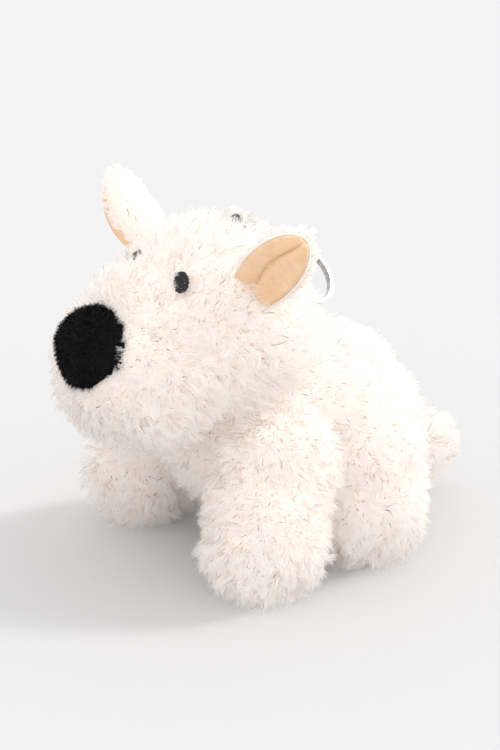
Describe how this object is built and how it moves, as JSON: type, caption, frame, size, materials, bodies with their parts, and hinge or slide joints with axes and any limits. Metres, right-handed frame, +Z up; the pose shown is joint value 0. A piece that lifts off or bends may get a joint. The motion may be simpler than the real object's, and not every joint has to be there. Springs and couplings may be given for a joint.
{
  "type": "plush dog",
  "caption": "Small stuffed pile-fabric dog standing on four paws, with cupped ears, a large dark nose, stitched eyes and a trigger clasp with a split ring for keys.",
  "frame": {"origin": "under the middle of the dog, on the surface its paws stand on", "axes": "+Z up, the nose points along -Y, the dog's left is +X"},
  "size_m": [0.103, 0.1388, 0.1159],
  "materials": {
    "pile_fabric": "long white pile on knitted backing",
    "filling": "polyester fibre filling",
    "velour": "short peach velour",
    "nose_velour": "matte black short pile",
    "eye_thread": "satin stitch in black thread",
    "ribbon": "woven ribbon",
    "nickel_plate": "bright nickel plate on zinc",
    "spring_steel": "plain spring steel"
  },
  "bodies": {
    "torso": {"body_side_left": "pile_fabric", "body_side_right": "pile_fabric", "belly_panel": "pile_fabric", "body_stuffing": "filling"},
    "head": {"head_side_left": "pile_fabric", "head_side_right": "pile_fabric", "head_gusset": "pile_fabric", "chin_panel": "pile_fabric", "head_stuffing": "filling", "nose": "nose_velour", "eye_left": "eye_thread", "eye_right": "eye_thread", "hanging_loop": "ribbon"},
    "ear_left": {"ear_back_left": "pile_fabric", "ear_lining_left": "velour"},
    "ear_right": {"ear_back_right": "pile_fabric", "ear_lining_right": "velour"},
    "leg_front_left": {"leg_front_left_outer_panel": "pile_fabric", "leg_front_left_inner_panel": "pile_fabric", "leg_front_left_stuffing": "filling"},
    "leg_front_right": {"leg_front_right_outer_panel": "pile_fabric", "leg_front_right_inner_panel": "pile_fabric", "leg_front_right_stuffing": "filling"},
    "leg_rear_left": {"leg_rear_left_outer_panel": "pile_fabric", "leg_rear_left_inner_panel": "pile_fabric", "leg_rear_left_stuffing": "filling"},
    "leg_rear_right": {"leg_rear_right_outer_panel": "pile_fabric", "leg_rear_right_inner_panel": "pile_fabric", "leg_rear_right_stuffing": "filling"},
    "tail": {"tail_cover": "pile_fabric", "tail_stuffing": "filling"},
    "clasp": {"clasp_body": "nickel_plate", "trigger_pin": "nickel_plate", "trigger_spring": "spring_steel"},
    "trigger": {"trigger_lever": "nickel_plate"},
    "swivel": {"swivel_eye": "nickel_plate"},
    "link": {"connecting_link": "nickel_plate"},
    "ring": {"split_ring": "nickel_plate"}
  },
  "joints": [
    {"name": "head_nod", "type": "hinge", "parent": "torso", "child": "head", "pos_m": [0, -0.0205, 0.0755], "axis": [1, 0, 0], "range_deg": [-10, 8], "stiffness_Nm_per_rad": 0.3},
    {"name": "ear_left_flex", "type": "hinge", "parent": "head", "child": "ear_left", "pos_m": [0.026, -0.022, 0.093], "axis": [0.5918, 0.4111, -0.6934], "range_deg": [-12, 12], "stiffness_Nm_per_rad": 0.01},
    {"name": "ear_right_flex", "type": "hinge", "parent": "head", "child": "ear_right", "pos_m": [-0.026, -0.022, 0.093], "axis": [0.4542, -0.8846, -0.1057], "range_deg": [-12, 12], "stiffness_Nm_per_rad": 0.01},
    {"name": "leg_front_left_swing", "type": "hinge", "parent": "torso", "child": "leg_front_left", "pos_m": [0.025, -0.016, 0.033], "axis": [1, 0, 0], "range_deg": [-8, 8], "stiffness_Nm_per_rad": 0.15},
    {"name": "leg_front_right_swing", "type": "hinge", "parent": "torso", "child": "leg_front_right", "pos_m": [-0.025, -0.016, 0.033], "axis": [1, 0, 0], "range_deg": [-8, 8], "stiffness_Nm_per_rad": 0.15},
    {"name": "leg_rear_left_swing", "type": "hinge", "parent": "torso", "child": "leg_rear_left", "pos_m": [0.024, 0.018, 0.026], "axis": [1, 0, 0], "range_deg": [-8, 8], "stiffness_Nm_per_rad": 0.15},
    {"name": "leg_rear_right_swing", "type": "hinge", "parent": "torso", "child": "leg_rear_right", "pos_m": [-0.024, 0.018, 0.026], "axis": [1, 0, 0], "range_deg": [-8, 8], "stiffness_Nm_per_rad": 0.15},
    {"name": "tail_wag", "type": "hinge", "parent": "torso", "child": "tail", "pos_m": [0, 0.047, 0.017], "axis": [0, 0, 1], "range_deg": [-20, 20], "stiffness_Nm_per_rad": 0.02},
    {"name": "clasp_swing", "type": "hinge", "parent": "head", "child": "clasp", "pos_m": [-0.0003, -0.0114, 0.107], "axis": [0.9272, -0.2254, -0.2992], "range_deg": [0, 75]},
    {"name": "trigger_open", "type": "hinge", "parent": "clasp", "child": "trigger", "pos_m": [-0.00113, -0.00273, 0.10089], "axis": [0.3746, 0.558, 0.7405], "range_deg": [0, 25], "stiffness_Nm_per_rad": 0.002},
    {"name": "swivel_turn", "type": "hinge", "parent": "clasp", "child": "swivel", "pos_m": [-0.0003, 0.00857, 0.09195], "axis": [0, 0.7986, -0.6018], "range_deg": [0, 40]},
    {"name": "link_swing", "type": "hinge", "parent": "swivel", "child": "link", "pos_m": [-0.0003, 0.00857, 0.09195], "axis": [-0.7097, 0.424, 0.5627], "range_deg": [-50, 0]},
    {"name": "ring_swing", "type": "hinge", "parent": "link", "child": "ring", "pos_m": [-0.00503, 0.00836, 0.08614], "axis": [0.3136, 0.9053, -0.2866], "range_deg": [-20, 20]}
  ]
}
